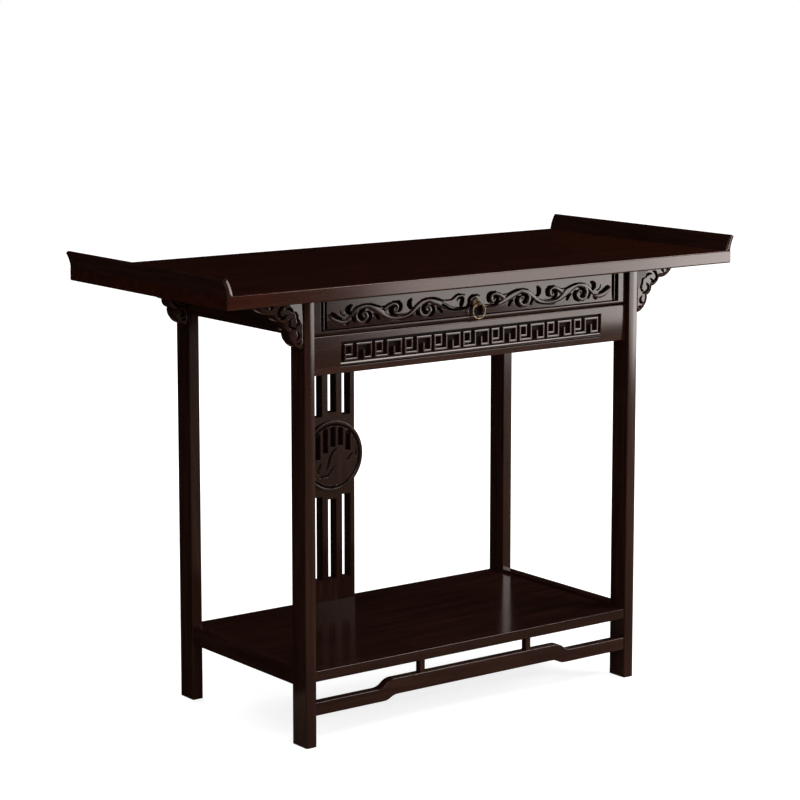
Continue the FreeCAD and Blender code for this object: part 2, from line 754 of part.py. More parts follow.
# Ring pull: a domed rosette on the field, an eye on a long post, a nut inside and a hanging ring
eye_middle = Vector(0, front_face - eye_standoff, eye_height)
post_hole = rod(eye_middle, along_y, 2 * eye_standoff + drawer_front_thickness, post_radius + dowel_slack)
rosette_foot = Vector(0, field_face, eye_height)
rosette = rod(rosette_foot, -along_y, rosette_thickness, rosette_radius)
rosette_face = rosette_foot - along_y * rosette_thickness
dome = Part.makeCone(
    rosette_dome_radius, rosette_dome_tip, rosette_dome_height, rosette_face, -along_y)
pieces["pull_rosette"] = rosette.fuse(dome).removeSplitter().cut(post_hole)
post_length = front_back_y + post_end - eye_middle.y
eye = Part.makeSphere(eye_radius, eye_middle)
eye = eye.fuse(rod(eye_middle, along_y, post_length, post_radius)).removeSplitter()
eye_hole_start = eye_middle - along_x * 2 * eye_radius
pieces["pull_post"] = eye.cut(rod(eye_hole_start, along_x, 4 * eye_radius, eye_hole_radius))
nut_range_y = (front_back_y, front_back_y + nut_thickness)
nut = block(about(0, nut_across), nut_range_y, about(eye_height, nut_across))
pieces["pull_nut"] = eased(nut, nut_round, along_y).cut(post_hole)
ring_middle = eye_middle - along_z * ring_radius
pieces["pull_ring"] = Part.makeTorus(ring_radius, ring_wire_radius, ring_middle, along_y)

drawer_front = with_sockets(drawer_front.cut([field, post_hole]), [bottom_ranges, *side_ranges.values()])
pieces["drawer_front"] = drawer_front

os.makedirs("parts", exist_ok=True)
for name, shape in pieces.items():
    shape.exportStep("parts/" + name + ".step")
    print(name, len(shape.Solids), "solid(s)", round(shape.Volume / 1000, 1), "cm3", shape.isValid())
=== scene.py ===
import math
import bpy
import numpy as np
from mathutils import Euler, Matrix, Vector
from mathutils.geometry import delaunay_2d_cdt


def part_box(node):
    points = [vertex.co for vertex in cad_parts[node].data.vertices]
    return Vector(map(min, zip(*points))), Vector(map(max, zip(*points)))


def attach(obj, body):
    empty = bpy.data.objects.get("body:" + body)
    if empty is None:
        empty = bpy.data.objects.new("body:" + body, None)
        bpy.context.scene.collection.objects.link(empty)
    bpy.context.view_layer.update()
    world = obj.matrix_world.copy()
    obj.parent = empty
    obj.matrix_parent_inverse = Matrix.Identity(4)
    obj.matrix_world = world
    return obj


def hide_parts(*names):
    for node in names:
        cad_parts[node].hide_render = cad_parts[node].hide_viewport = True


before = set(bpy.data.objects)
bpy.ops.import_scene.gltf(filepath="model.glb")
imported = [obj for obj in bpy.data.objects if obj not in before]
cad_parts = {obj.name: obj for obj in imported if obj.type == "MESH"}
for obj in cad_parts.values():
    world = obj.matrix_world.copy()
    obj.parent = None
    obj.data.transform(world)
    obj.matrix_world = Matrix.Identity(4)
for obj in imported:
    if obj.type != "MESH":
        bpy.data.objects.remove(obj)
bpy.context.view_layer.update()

# The looks of an altar table with everted ends, one carved drawer and an open shelf.
# The frame is in metres. Carvings are drawn in millimetres and scaled by MM.
MM = 0.001

# Camera
camera_lens = 112.19
camera_sensor = 36.0
camera_place = (-2.9131, -3.8543, 1.4130)
camera_yaw = math.radians(36.911)
camera_pitch = math.radians(7.969)
camera_shift = (-0.0032, -0.1)

# Lights: strips to the front right for the gloss, as (start and end along the row, foot, head, radiance).
# A light high on the right catches upper edges, and large ones in front and behind give the shape.
# Level pieces would mirror some of them in white, so the lower strips leave out the shelf, and the upper
# strips leave out the shelf and the top. The light behind leaves out both boards, the everted ends and the
# shelf rails.
flat_boards = ("shelf_board", "top_board")
everted_ends = ("left_everted_end", "right_everted_end")
shelf_rails = ("left_shelf_rail", "right_shelf_rail")
strip_row = (2.35, -2.35)
strip_foot = 0.19
strip_step = 0.28
strip_middle = 0.75
strip_head = 1.30
strip_soft = 6.1
strip_bright = 10.4
strips = (
    (-0.88, -0.30, strip_step, strip_middle, strip_soft),
    (-0.66, -0.30, strip_foot, strip_step, strip_soft),
    (-0.30, -0.01, strip_foot, strip_middle, strip_soft),
    (-0.30, -0.01, strip_middle, strip_head, strip_soft),
    (-0.01, 0.82, strip_foot, strip_middle, strip_bright),
    (-0.01, 0.82, strip_middle, strip_head, strip_bright),
)
high_place = (1.87, -1.8, 2.5)
high_aim = (0.0, -0.2, 0.7)
high_size = (1.5, 1.0)
high_power = 62.0
fill_place = (-1.2, -3.2, 2.6)
fill_aim = (0.0, 0.0, 0.5)
fill_size = (3.2, 2.4)
fill_power = 70.0
back_place = (0.6, 3.4, 2.4)
back_aim = (1.0, 1.2, 0.0)
back_size = (2.4, 1.6)
back_power = 90.0
sky_light = 0.3
background_white = 1.0

# Stage: a white floor, and cards that only reflections see: a dark dome over a floor in two sectors, the
# first warm and the second, at the back left, dark. The turns between sectors are in degrees from +X.
floor_half = 40.0
floor_colour = (0.5, 0.5, 0.5)
floor_glow = (0.8, 1.0)
floor_glow_reach = (0.9, 3.0)
card_radius = 6.0
card_sides = 48
card_rings = 12
card_lift = 0.001
card_turns = (-188.0, 82.0, 172.0)
card_dark = (0.004, 0.004, 0.004)
card_warm = (0.21, 0.15, 0.118)

# Finishes, as linear colours
lacquer_dark = (0.0125, 0.0040, 0.0028)
lacquer_light = (0.0240, 0.0086, 0.0056)
top_dark = (0.0180, 0.0040, 0.0019)
top_light = (0.0320, 0.0074, 0.0036)
lacquer_roughness = (0.12, 0.17)
lacquer_shine = 0.4
# Ground colours are painted shade: a lacquer far darker than the rest, laid in the deep grooves, pockets
# and quirks of the carvings and on the fret's floor. The ground's rougher, duller finish is its own.
shaded_ground_dark = (0.0030, 0.0012, 0.0010)
shaded_ground_light = (0.0060, 0.0024, 0.0018)
ground_roughness = (0.5, 0.65)
ground_shine = 0.08
lacquer_shine_tint = (1.0, 0.90, 0.84, 1.0)
inner_dark = (0.16, 0.085, 0.042)
inner_light = (0.33, 0.20, 0.11)
brass_bright = (0.40, 0.29, 0.18)
brass_dull = (0.06, 0.036, 0.018)
brass_roughness = (0.42, 0.18)
steel_bright = (0.52, 0.52, 0.53)
steel_dull = (0.30, 0.30, 0.31)
steel_roughness = (0.5, 0.32)

# Patterns in the finishes: how far the grain is drawn out along a board, noises as (scale, detail,
# distortion), the part of a noise that the colours spread over, and relief as (strength, height)
grain_offset_shares = (1.0, 0.37, 0.71)
lacquer_stretch = 14.0
lacquer_streaks = (75.0, 8.0, 0.6)
lacquer_spread = (0.36, 0.66)
lacquer_cloud = (9.0, 3.0, 0.0)
lacquer_pores = (260.0, 3.0, 0.0)
lacquer_relief = (0.04, 0.0004)
inner_stretch = 16.0
inner_streaks = (60.0, 7.0, 1.2)
inner_spread = (0.30, 0.70)
inner_cloud = (20.0, 3.0, 0.0)
inner_roughness = (0.5, 0.68)
inner_relief = (0.12, 0.0006)
brass_patches = (420.0, 6.0, 0.4)
steel_patches = (700.0, 6.0, 0.4)
metal_spread = (0.34, 0.62)
metal_relief = (0.15, 0.0002)

# Meshes: the turn in degrees past which an edge is sharp, and how near places count as the same, in metres
# and in digits of a millimetre
sharp_turn = 40.0
fret_sharp_turn = 30.0
board_sharp_turn = 50.0
same_place = 1e-6
same_digits = 3

# Relief boards: a step's steep wall and rounded lip, and grid lines in shares of the rounding of an edge
# or a lip
board_ease = 1.5
edge_shares = (0.0, 0.1, 0.33, 0.66, 1.0, 1.3)
wall_draft = 0.15
lip_round = 0.5
lip_shares = (0.0, 0.25, 0.6, 1.0, 1.5)

# Drawer front: a field sunk under its face, with a bead between two quirks at each end. What lies deeper
# than the field by the shade margin takes a darker lacquer: painted shade.
drawer_foot_ease = 3.5
field_half_length = 358.0
field_margins = (6.6, 9.0)
field_depth = 3.2
shade_margin = 0.4
quirk_depth = 8.0
end_quirks = ((343.0, 348.5), (351.5, 358.0))
end_bead_depth = 2.2
end_bead_round = 1.4
foot_quirk = 2.0
cove_height = 20.0
cove_rise = 2.4
cove_power = 1.2
carving_grid = 0.82
stroke_step = 0.6

# Section of a carved ribbon, as depths at distances out from its edge
ribbon_section = ((-4.5, 0.9), (-3.0, 0.94), (-2.0, 1.01), (-1.0, 1.12), (-0.3, 1.25), (0.6, field_depth))

# Pockets beside the ribbons, and the boss under the rosette
pocket_margin = 0.4
pocket_slope = 3.0
pocket_depth = 6.0
boss_radius = 9.4
boss_depth = 2.5
boss_wall = 0.8

# Scroll on the right half of the drawer: (x from the middle, z, half width). Curls and their pockets are
# drawn from the place of a crest or a trough.
scroll_stem = [
    (0, 786.0, 2.0), (14, 785.0, 2.4), (30, 784.3, 2.8), (48, 784.3, 3.0), (64, 788.5, 4.2),
    (78, 794.5, 5.2), (90, 799.8, 5.2), (100, 803.2, 4.8), (110, 806.2, 3.6), (120, 804.8, 4.0),
    (130, 801.0, 4.8), (140, 794.5, 4.6), (149, 787.5, 4.0), (160, 782.0, 3.2), (174, 779.3, 2.6),
    (188, 779.3, 2.6), (202, 781.5, 3.4), (215, 787.5, 4.8), (227, 796.5, 6.2), (239, 803.0, 5.4),
    (250, 806.6, 3.9), (263, 806.4, 4.0), (275, 803.0, 4.6), (284, 797.3, 3.8), (291, 791.0, 2.6),
    (297, 786.0, 2.0),
]
tip_leaf = [
    (299, 783.5, 1.0), (306, 781.5, 3.4), (315, 782.3, 4.4), (325, 786.0, 4.0), (333, 791.0, 2.8),
    (339, 797.0, 0.6),
]
crest_places = (110.0, 256.0)
crest_curl = [
    (19, 800.0, 3.6), (22.3, 792.0, 2.6), (20.5, 784.0, 3.0), (13, 778.3, 3.3), (4, 780.0, 3.2),
    (-2.5, 786.5, 3.0), (-1, 792.5, 2.6), (4, 796.0, 2.0), (8, 792.5, 1.8),
]
trough_places = (42.0, 187.5)
trough_curl = [
    (26, 798.0, 4.0), (15, 804.0, 3.2), (5.5, 806.2, 3.0), (-1.5, 803.6, 2.9), (-3.5, 798.3, 2.9),
    (-1, 793.0, 2.8), (3, 792.3, 2.2), (4.5, 796.5, 1.8),
]

# Pockets cut round the scroll, deeper where they are wider, in the same terms
crest_pockets = [
    [(-44, 803.4, 0.4), (-31, 803.4, 0.9), (-21, 806.3, 1.4), (-11, 809.2, 1.5), (-1, 810.7, 0.9),
     (9, 810.0, 0.5), (19, 808.0, 0.2)],
    [(0.5, 796.5, 0.6), (-6.5, 795.2, 1.8), (-10.3, 789.5, 3.6), (-8.8, 783.0, 3.4), (-3.5, 777.9, 1.9),
     (3, 774.9, 0.4)],
    [(1.5, 801.6, 0.5), (8.5, 799.0, 1.9), (15, 793.7, 3.5), (12.7, 788.0, 3.3), (7.8, 784.4, 2.8),
     (5.2, 782.3, 0.6)],
    [(-18, 790.5, 0.8), (-24, 787.5, 2.6), (-28, 783.5, 3.2), (-31, 780.5, 1.0)],
    [(31, 790.0, 0.9), (27.5, 784.3, 3.4), (24.3, 779.0, 1.0)],
]
trough_pockets = [
    [(8.5, 810.2, 0.4), (-0.5, 810.2, 1.2), (-8, 806.8, 2.9), (-11, 801.0, 3.9), (-10.3, 794.5, 3.0),
     (-5.5, 790.3, 0.6)],
    [(0.3, 802.0, 0.7), (7, 800.8, 2.3), (11.6, 796.3, 4.0), (10.5, 790.5, 3.9), (5.5, 786.6, 2.2),
     (-4, 784.6, 0.7), (-16, 783.6, 0.3)],
]
single_pockets = [
    [(152.5, 810.5, 2.2), (155.5, 806.0, 4.8), (156, 801.0, 5.4), (153.5, 796.3, 3.4), (148, 794.4, 0.7)],
    [(148.6, 782.2, 1.0), (158.5, 778.6, 0.6), (175.7, 776.0, 0.5), (194, 775.0, 0.3)],
    [(287.5, 810.6, 1.0), (293, 808.3, 3.4), (296.5, 803.0, 5.6), (294, 797.6, 3.4), (290, 795.5, 0.7)],
    [(313.5, 803.0, 0.4), (313, 798.0, 0.8), (309, 794.4, 0.8), (304, 793.4, 0.4)],
    [(309.5, 788.4, 0.7), (316.5, 789.0, 2.3), (324.5, 793.5, 3.3), (331, 797.6, 2.6), (335.5, 799.0, 0.7)],
    [(294, 781.5, 0.8), (298, 778.0, 1.9), (303, 776.4, 0.4)],
]

# Pockets of the middle, left of the pull
middle_pockets = [
    [(-70, 803.0, 0.9), (-58.9, 803.0, 0.9), (-51.1, 806.9, 1.6), (-46.7, 809.7, 1.6), (-41.7, 811.3, 1.3),
     (-35.6, 811.3, 0.8), (-26.7, 809.7, 0.3)],
    [(-43.9, 799.8, 0.7), (-41.5, 803.6, 1.0), (-36.5, 805.2, 1.5), (-31.5, 802.5, 4.2),
     (-31.8, 797.5, 4.6), (-34, 792.5, 4.2), (-36.5, 789.8, 1.5)],
    [(-80, 795.8, 1.4), (-68.9, 790.2, 1.5), (-63.3, 786.9, 1.5), (-55.6, 784.7, 1.3), (-41.1, 783.9, 1.2),
     (-26.7, 784.9, 1.3), (-17.8, 787.1, 1.4), (-13.3, 789.1, 1.0)],
    [(9.2, 805.2, 0.4), (3.7, 807.1, 1.1), (-3, 806.9, 1.9), (-9.7, 805.2, 2.8), (-14.1, 800.8, 3.2),
     (-15.8, 795.8, 3.2), (-16.9, 790.8, 2.4), (-20.8, 786.9, 0.8)],
]

# Key fret of the front apron, as in the frame: one unit's route and the bead under it
fret_foot = 22.5
fret_pitch = 68.75
fret_units = 9
fret_stroke = 3.8
fret_height = 30.0
fret_small_spiral = 17.0
fret_step = 29.4
fret_large_hook = 44.6
fret_large_spiral = 60.6
fret_small_hook_rise = 9.6
fret_large_hook_rise = 16.9
fret_bevel = (0.9, 0.52)
fret_bed = 0.3
fret_floor = 6.5
band_half_length = 313.5
band_foot = 12.0
band_height = 46.0
bead_foot = 15.0
bead_height = 4.5
bead_front = 0.5
bead_slope_depth = 2.3
apron_top_ease = 3.0
apron_bow = 2.2
apron_bow_height = 60.0

# Bracket carving: grooves as (out from the leg, down from the top, half width)
bracket_grooves = [
    [(20, 23.5, 0.8), (15, 26, 2.1), (13.5, 34, 2.4), (11, 41, 2.7), (13, 47, 2.4), (17, 49, 0.8)],
    [(25.5, 34, 1.0), (29.5, 39, 2.8), (30.5, 45, 2.9), (26.5, 50.5, 2.7), (20, 53, 2.4), (15.5, 53, 1.0)],
    [(23.5, 22.5, 1.0), (26, 18.5, 2.5), (31, 16.2, 2.4), (39, 16.2, 0.8)],
    [(43, 11.5, 1.0), (48, 13.5, 2.8), (52.5, 19.5, 3.1), (52, 26, 2.9), (47, 31.5, 3.1), (38, 33, 1.0)],
    [(36, 25.5, 0.8), (39, 28, 2.0), (43.5, 31, 1.1)],
    [(13.5, 59.5, 1.0), (9.5, 66, 2.9), (11.5, 71.5, 2.8), (16.5, 73.5, 0.8)],
    [(64, 8, 0.8), (68, 10.5, 2.7), (71.5, 16, 0.8)],
    [(80, 4, 0.7), (81.5, 9, 2.2), (79, 14, 0.7)],
    [(4, 79, 0.7), (9, 81, 2.2), (14, 80, 0.7)],
]
groove_depth = 4.2
groove_flank = 1.5
# Grooves deeper than this take the darker lacquer: painted shade.
groove_shade_depth = 0.8
rim_slope = 0.24
rim_width = 8.0
corner_field = (36.0, 50.0)
corner_field_depth = 2.4
bracket_ease = 2.2

# Flat carved boards: spacing of their points, how these are joined to triangles, and rows along an eased
# edge
board_spacing = 1.0
outline_spacing = board_spacing / 3
whole_hull = 0
join_distance = 1e-7
ease_shares = (0.12, 0.4, 1.0)
ease_crowding = 0.93

# Everted ends, worked to a shallow ridge at the front and the back
end_nose_slope = 0.2
end_nose_width = 5.0
end_ease = 0.5

# Medallion carving, from its middle: ring groove and the hills' ridge lines
medallion_ring = (64.0, 2.9)
medallion_ring_depth = 2.6
medallion_field = 61.5
medallion_field_depth = 0.9
medallion_ease = 1.0
ridge_lines = [
    [(11, 14.5, 0.9), (3, 11, 2.2), (-4, 3, 2.6), (-8.5, -6, 2.6), (-11, -15, 2.4), (-15, -27, 0.9)],
    [(-30, -12, 0.9), (-32.5, -19, 2.4), (-36, -27, 2.2), (-37, -34, 0.8)],
    [(6, -20, 0.9), (-1, -28, 2.2), (-8, -35, 2.4), (-12, -39, 2.0), (-21, -39.5, 1.9), (-32, -41.5, 0.8)],
    [(50, 2, 0.9), (43.5, -3.5, 2.6), (38.5, -8.5, 2.4), (33.5, -11.5, 0.8)],
    [(56, 12, 0.6), (57, 2, 1.4), (56, -6, 0.6)],
]
ridge_depth = 2.2
ridge_flank = 1.1
slot_head_gap = 1.5

# Rosette of the pull, in shares of its radius and height
petals = 8
petal_swing = 0.09
petal_crease = 0.16
rosette_share = 0.8
rosette_bore = 0.22
rosette_plate = 0.42
rosette_dome = 0.6
rosette_rim = 0.32
rosette_edge = 0.35
rosette_rings = 14
rosette_spokes = 96


# What is shown for each node: its own mesh, or the piece that takes its place
shown = dict(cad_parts)


def mesh_piece(name, points, faces, finishes, sunk=None, sharp=sharp_turn):
    """New object from points and faces, smooth but for sharp edges. Sunk faces take the second finish."""
    mesh = bpy.data.meshes.new(name)
    mesh.from_pydata([tuple(point) for point in points], [], faces)
    for finish in finishes:
        mesh.materials.append(finish)
    if sunk is not None:
        mesh.polygons.foreach_set("material_index", [int(flag) for flag in sunk])
    mesh.shade_smooth()
    mesh.set_sharp_from_angle(angle=math.radians(sharp))
    piece = bpy.data.objects.new(name, mesh)
    bpy.context.scene.collection.objects.link(piece)
    return piece


def stand_for(piece, node, body):
    """A piece takes the place of one node of the frame."""
    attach(piece, body)
    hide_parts(node)
    shown[node] = piece


def smooth_line(knots, step):
    """Rows close together on a smooth line through the knots, with all their values carried along."""
    knots = np.array(knots, float)
    padded = np.vstack([2 * knots[0] - knots[1], knots, 2 * knots[-1] - knots[-2]])
    rows = []
    for before, start, end, after in zip(padded, padded[1:], padded[2:], padded[3:]):
        count = max(2, int(np.linalg.norm(end[:2] - start[:2]) / step))
        t = np.linspace(0, 1, count, endpoint=False)[:, None]
        first = (end - before) * t
        second = (2 * before - 5 * start + 4 * end - after) * t ** 2
        third = (3 * start - before - 3 * end + after) * t ** 3
        rows.append(start + 0.5 * (first + second + third))
    rows.append(knots[-1:])
    return np.vstack(rows)


def gap_to_strokes(points, strokes):
    """Distance from each point to the edge of the nearest stroke, negative inside a stroke."""
    gap = np.full(len(points), np.inf)
    for stroke in strokes:
        for x, z, half in smooth_line(stroke, stroke_step):
            np.minimum(gap, np.hypot(points[:, 0] - x, points[:, 1] - z) - half, out=gap)
    return gap


def quarter_round(distance, radius):
    """Depth of a rounded edge at a distance in from the edge."""
    inward = np.clip(radius - distance, 0, radius)
    return radius - np.sqrt(radius ** 2 - inward ** 2)


def shifted(stroke, dx):
    """A stroke moved along the front."""
    return [(x + dx, z, half) for x, z, half in stroke]


def flipped(stroke):
    """A stroke's mirror image about the middle."""
    return [(-x, z, half) for x, z, half in stroke]


# Materials


def new_material(name):
    """Material with its node tree and its main shader."""
    material = bpy.data.materials.new(name)
    material.use_nodes = True
    tree = material.node_tree
    return material, tree, tree.nodes["Principled BSDF"]


def grain_space(tree, axis, stretch, offset):
    """Object coordinates drawn out along the grain."""
    coordinates = tree.nodes.new("ShaderNodeTexCoord")
    mapping = tree.nodes.new("ShaderNodeMapping")
    mapping.inputs["Location"].default_value = [offset * share for share in grain_offset_shares]
    mapping.inputs["Scale"].default_value = [1 / stretch if i == axis else 1 for i in range(3)]
    tree.links.new(coordinates.outputs["Object"], mapping.inputs["Vector"])
    return mapping.outputs["Vector"]


def noise(tree, vector, scale, detail, distortion):
    """Noise value along a vector."""
    node = tree.nodes.new("ShaderNodeTexNoise")
    node.inputs["Scale"].default_value = scale
    node.inputs["Detail"].default_value = detail
    node.inputs["Distortion"].default_value = distortion
    tree.links.new(vector, node.inputs["Vector"])
    return node.outputs["Fac"]


def ramp(tree, value, spread, colours):
    """Two colours blended along a value, over a spread of it."""
    node = tree.nodes.new("ShaderNodeValToRGB")
    for element, place, colour in zip(node.color_ramp.elements, spread, colours):
        element.position = place
        element.color = (*colour, 1.0)
    tree.links.new(value, node.inputs["Fac"])
    return node.outputs["Color"]


def ranged(tree, value, low, high):
    """A value from 0 to 1 spread over another range."""
    node = tree.nodes.new("ShaderNodeMapRange")
    node.inputs["To Min"].default_value = low
    node.inputs["To Max"].default_value = high
    tree.links.new(value, node.inputs["Value"])
    return node.outputs["Result"]


def bump(tree, shader, height, strength, distance):
    """Fine relief on a shader."""
    node = tree.nodes.new("ShaderNodeBump")
    node.inputs["Strength"].default_value = strength
    node.inputs["Distance"].default_value = distance
    tree.links.new(height, node.inputs["Height"])
    tree.links.new(node.outputs["Normal"], shader.inputs["Normal"])


def lacquer(name, axis, offset, colours=(lacquer_dark, lacquer_light), roughness=lacquer_roughness,
            shine=lacquer_shine):
    """Dark red-brown lacquer over wood whose grain runs along one axis."""
    material, tree, shader = new_material(name)
    grain = grain_space(tree, axis, lacquer_stretch, offset)
    streaks = noise(tree, grain, *lacquer_streaks)
    tree.links.new(ramp(tree, streaks, lacquer_spread, colours), shader.inputs["Base Color"])
    cloud = noise(tree, grain, *lacquer_cloud)
    tree.links.new(ranged(tree, cloud, *roughness), shader.inputs["Roughness"])
    pores = noise(tree, grain, *lacquer_pores)
    bump(tree, shader, pores, *lacquer_relief)
    shader.inputs["Specular IOR Level"].default_value = shine
    shader.inputs["Specular Tint"].default_value = lacquer_shine_tint
    return material


def inner_wood(name, axis, offset):
    """Sealed secondary wood of the drawer box and its rails."""
    material, tree, shader = new_material(name)
    grain = grain_space(tree, axis, inner_stretch, offset)
    streaks = noise(tree, grain, *inner_streaks)
    colours = ramp(tree, streaks, inner_spread, (inner_dark, inner_light))
    tree.links.new(colours, shader.inputs["Base Color"])
    cloud = noise(tree, grain, *inner_cloud)
    tree.links.new(ranged(tree, cloud, *inner_roughness), shader.inputs["Roughness"])
    bump(tree, shader, streaks, *inner_relief)
    return material


def metal(name, dull, bright, roughness, wear):
    """Metal with worn and tarnished places, whose pattern is a noise."""
    material, tree, shader = new_material(name)
    coordinates = tree.nodes.new("ShaderNodeTexCoord").outputs["Object"]
    patches = noise(tree, coordinates, *wear)
    tree.links.new(ramp(tree, patches, metal_spread, (dull, bright)), shader.inputs["Base Color"])
    tree.links.new(ranged(tree, patches, *roughness), shader.inputs["Roughness"])
    bump(tree, shader, patches, *metal_relief)
    shader.inputs["Metallic"].default_value = 1.0
    return material


along_x, along_y, along_z = range(3)
lacquers = {
    "top": lacquer("lacquer_top", along_x, offset=0.0, colours=(top_dark, top_light)),
    "shelf": lacquer("lacquer_shelf", along_x, offset=3.1),
    "rail": lacquer("lacquer_rail", along_x, offset=5.7),
    "side": lacquer("lacquer_side", along_y, offset=8.3),
    "post": lacquer("lacquer_post", along_z, offset=11.9),
    "carved": lacquer("lacquer_carved", along_x, offset=14.2),
}
# Lacquer of the deep places: its darker colour is painted shade, its rough, dull finish is real.
painted_shade_lacquer = lacquer(
    "lacquer_painted_shade", along_x, offset=17.0, colours=(shaded_ground_dark, shaded_ground_light), roughness=ground_roughness,
    shine=ground_shine)
inner_woods = {
    "along": inner_wood("inner_wood_x", along_x, offset=2.0),
    "deep": inner_wood("inner_wood_y", along_y, offset=6.0),
    "upright": inner_wood("inner_wood_z", along_z, offset=9.0),
}
brass = metal("aged_brass", brass_dull, brass_bright, brass_roughness, brass_patches)
steel = metal("screw_steel", steel_dull, steel_bright, steel_roughness, steel_patches)

# Finishes of the nodes that show their own mesh
legs = [f"leg_{end}_{side}" for end in ("front", "back") for side in ("left", "right")]
node_finishes = (
    (lacquers["top"], ("top_board",)),
    (lacquers["shelf"], ("shelf_board",)),
    (lacquers["rail"], ("back_apron", "hump_stretcher")),
    (lacquers["side"], ("left_side_apron", "right_side_apron", *shelf_rails)),
    (lacquers["post"], (*legs, "left_strut", "right_strut", "splat_upper", "splat_lower")),
    (inner_woods["along"], ("drawer_back", "drawer_bottom")),
    (inner_woods["deep"], ("drawer_left_side", "drawer_right_side", "drawer_stops")),
    (inner_woods["deep"], ("left_runner", "right_runner", "left_kicker", "right_kicker")),
    (inner_woods["upright"], ("bracket_dowels", "splat_dowels")),
    (brass, ("pull_post", "pull_nut", "pull_ring")),
    (steel, ("top_screws",)),
)
for finish, nodes in node_finishes:
    for node in nodes:
        for material_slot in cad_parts[node].material_slots:
            material_slot.material = finish


# Relief boards: the drawer front and the front apron, each one grid of depths under a flat face


def spaced(low, high, step):
    """Evenly spaced values that end on both limits."""
    return np.linspace(low, high, max(2, round((high - low) / step) + 1))


def step_lines(place, outward):
    """Grid lines for a step down: a foot inside it, and a rounded lip outside it."""
    lip = place + outward * (wall_draft + lip_round * np.array(lip_shares))
    return [place - outward * wall_draft, *lip]


def edge_lines(low, high, ease):
    """Grid lines for the two rounded edges of a board."""
    shares = ease * np.array(edge_shares)
    return [*(low + shares), *(high - shares)]


def lip_depth(distance):
    """Depth of a step's rounded lip at a distance outside the step."""
    return quarter_round(distance - wall_draft, lip_round)


def relief_board(xs, zs, front, back, depth):
    """Closed board whose front is a grid of depths, in millimetres. Gives points in metres and faces."""
    columns, rows = len(xs), len(zs)
    grid_x, grid_z = np.meshgrid(xs, zs)
    points = np.column_stack([grid_x.ravel(), front + depth, grid_z.ravel()])
    corners = [(xs[0], back, zs[0]), (xs[-1], back, zs[0]), (xs[-1], back, zs[-1]), (xs[0], back, zs[-1])]
    first = len(points)
    points = MM * np.vstack([points, corners])
    faces = []
    for row in range(rows - 1):
        for i in range(row * columns, row * columns + columns - 1):
            faces.append((i, i + 1, i + 1 + columns, i + columns))
    last = (rows - 1) * columns
    faces.append((*reversed(range(columns)), first, first + 1))
    faces.append((*range(last, last + columns), first + 2, first + 3))
    faces.append((*range(0, last + 1, columns), first + 3, first))
    faces.append((*reversed(range(columns - 1, last + columns, columns)), first + 1, first + 2))
    faces.append((first + 3, first + 2, first + 1, first))
    return points, faces


def mirrored(strokes):
    """Strokes of the right half, and the same ones on the left half."""
    return strokes + [flipped(stroke) for stroke in strokes]


def at_places(strokes, places):
    """Strokes repeated along the front."""
    return [shifted(stroke, place) for place in places for stroke in strokes]


def scroll_strokes():
    """Ribbons and pockets of the whole scroll, whose two halves differ next to the pull."""
    near, far = trough_places
    ribbons = [scroll_stem, tip_leaf]
    ribbons += at_places([crest_curl], crest_places) + at_places([trough_curl], [far])
    ribbons = mirrored(ribbons) + at_places([trough_curl], [near])
    pockets = at_places(crest_pockets, crest_places) + at_places(trough_pockets, [far]) + single_pockets
    pockets = mirrored(pockets) + at_places(trough_pockets, [near]) + middle_pockets
    return ribbons, pockets


def carved(points, ground):
    """Depth of the scroll under the drawer's face, from the depth of the ground at the same points.
    The ring hangs over a round hollow, and the rosette sits on a low boss."""
    ribbons, pockets = scroll_strokes()
    distances, depths = zip(*ribbon_section)
    depth = np.minimum(ground, np.interp(gap_to_strokes(points, ribbons), distances, depths))
    low, high = [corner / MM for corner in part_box("pull_ring")]
    hollow = np.hypot(points[:, 0], points[:, 1] - (low.z + high.z) / 2) - (high.x - low.x) / 2
    gap = np.minimum(gap_to_strokes(points, pockets), hollow)
    cut = np.clip(pocket_slope * (pocket_margin - gap), 0, pocket_depth)
    depth = np.where(cut > 0, np.maximum(depth, ground + cut), depth)
    low, high = [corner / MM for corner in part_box("pull_rosette")]
    radius = np.hypot(points[:, 0], points[:, 1] - (low.z + high.z) / 2)
    return boss_depth + np.interp(radius - boss_radius, (0, boss_wall), (0, 1)) * (depth - boss_depth)


def drawer_lines(low, high, foot, head):
    """Grid lines across and up the drawer front, close together in its field."""
    inner = end_quirks[0][0] - wall_draft
    xs = [edge_lines(low.x, high.x, board_ease), spaced(-inner, inner, carving_grid)]
    xs += [step_lines(-field_half_length, -1), step_lines(field_half_length, 1)]
    for start, end in end_quirks:
        for side in (-1, 1):
            xs += [step_lines(side * start, -side), step_lines(side * end, side)]
    zs = [edge_lines(low.z, high.z, board_ease), edge_lines(low.z, high.z, drawer_foot_ease)]
    zs += [step_lines(foot, -1), step_lines(head, 1), step_lines(foot + foot_quirk, 1)]
    zs += [spaced(foot + foot_quirk + wall_draft, head - wall_draft, carving_grid)]
    return np.unique(np.concatenate(xs)), np.unique(np.concatenate(zs))


